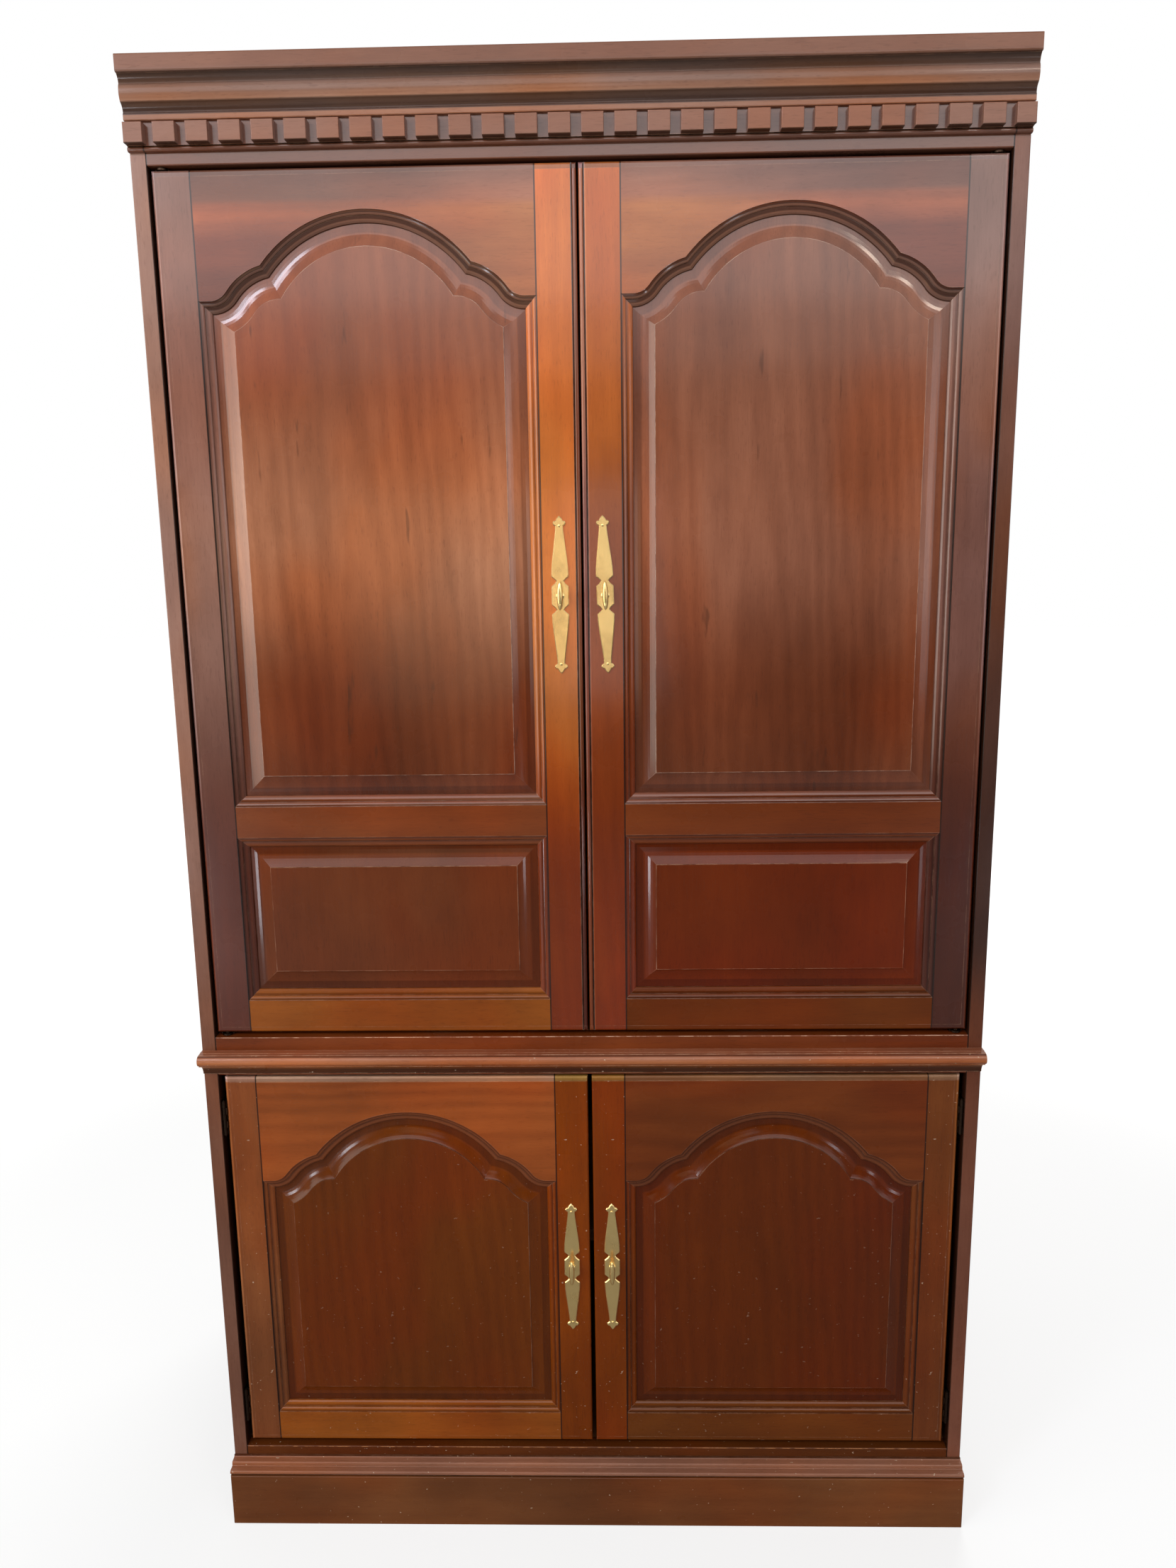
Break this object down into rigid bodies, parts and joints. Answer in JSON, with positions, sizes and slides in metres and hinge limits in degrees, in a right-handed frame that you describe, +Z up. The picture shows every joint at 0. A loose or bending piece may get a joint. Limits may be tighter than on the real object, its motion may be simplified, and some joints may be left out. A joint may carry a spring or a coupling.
{
  "type": "television armoire",
  "caption": "Tall cherry television armoire with arched raised-panel pocket doors over hinged lower doors, dentil crown, waist moulding, stepped base and brass pulls.",
  "frame": {"origin": "centre of the bounding box's footprint, on the floor", "axes": "+X to the right seen from the front, -Y towards the viewer at the front, +Z up"},
  "size_m": [1.1, 0.637, 2.035],
  "materials": {
    "cherry_case": "satin lacquered cherry",
    "cherry_door": "satin lacquered cherry",
    "cherry_panel": "satin lacquered cherry",
    "inner_board": "satin stained board",
    "back_board": "matt hardboard",
    "polished_brass": "polished, aged lacquer",
    "bronzed_steel": "dark bronzed plating",
    "zinc_steel": "zinc plated"
  },
  "bodies": {
    "case": {"side_panel_left": "cherry_case", "side_panel_right": "cherry_case", "base_rail": "cherry_case", "base_cap": "cherry_case", "plinth_front": "cherry_case", "plinth_back": "inner_board", "lower_deck": "inner_board", "waist_rail": "cherry_case", "waist_moulding": "cherry_case", "waist_deck": "inner_board", "frieze_rail": "cherry_case", "dentil_backer": "cherry_case", "dentil_blocks": "cherry_case", "crown_moulding": "cherry_case", "top_board": "cherry_case", "lower_back": "back_board", "upper_back": "back_board", "pocket_partition_left": "inner_board", "pocket_partition_right": "inner_board", "lower_shelf": "inner_board", "upper_shelf": "inner_board", "shelf_pins": "zinc_steel", "door_carriage_left": "zinc_steel", "door_carriage_right": "zinc_steel", "pocket_slides": "zinc_steel", "hinge_leaves_frame": "bronzed_steel"},
    "upper_door_left": {"upper_stile_outer_left": "cherry_door", "upper_stile_meet_left": "cherry_door", "upper_rail_top_left": "cherry_door", "upper_rail_mid_left": "cherry_door", "upper_rail_low_left": "cherry_door", "upper_panel_left": "cherry_panel", "upper_panel_small_left": "cherry_panel", "upper_plate_left": "polished_brass", "upper_grip_left": "polished_brass"},
    "lower_door_left": {"lower_stile_outer_left": "cherry_door", "lower_stile_meet_left": "cherry_door", "lower_rail_top_left": "cherry_door", "lower_rail_low_left": "cherry_door", "lower_panel_left": "cherry_panel", "lower_plate_left": "polished_brass", "lower_grip_left": "polished_brass", "hinge_leaves_door_left": "bronzed_steel"},
    "upper_door_right": {"upper_stile_outer_right": "cherry_door", "upper_stile_meet_right": "cherry_door", "upper_rail_top_right": "cherry_door", "upper_rail_mid_right": "cherry_door", "upper_rail_low_right": "cherry_door", "upper_panel_right": "cherry_panel", "upper_panel_small_right": "cherry_panel", "upper_plate_right": "polished_brass", "upper_grip_right": "polished_brass"},
    "lower_door_right": {"lower_stile_outer_right": "cherry_door", "lower_stile_meet_right": "cherry_door", "lower_rail_top_right": "cherry_door", "lower_rail_low_right": "cherry_door", "lower_panel_right": "cherry_panel", "lower_plate_right": "polished_brass", "lower_grip_right": "polished_brass", "hinge_leaves_door_right": "bronzed_steel"}
  },
  "joints": [
    {"name": "upper_left_swing", "type": "hinge", "parent": "case", "child": "upper_door_left", "pos_m": [-0.515, -0.2805, 1.348], "axis": [0, 0, -1], "range_deg": [0, 90]},
    {"name": "upper_right_swing", "type": "hinge", "parent": "case", "child": "upper_door_right", "pos_m": [0.515, -0.2805, 1.348], "axis": [0, 0, 1], "range_deg": [0, 90]},
    {"name": "lower_left_swing", "type": "hinge", "parent": "case", "child": "lower_door_left", "pos_m": [-0.52675, -0.2875, 0.4165], "axis": [0, 0, -1], "range_deg": [0, 115]},
    {"name": "lower_right_swing", "type": "hinge", "parent": "case", "child": "lower_door_right", "pos_m": [0.52675, -0.2875, 0.4165], "axis": [0, 0, 1], "range_deg": [0, 115]}
  ]
}
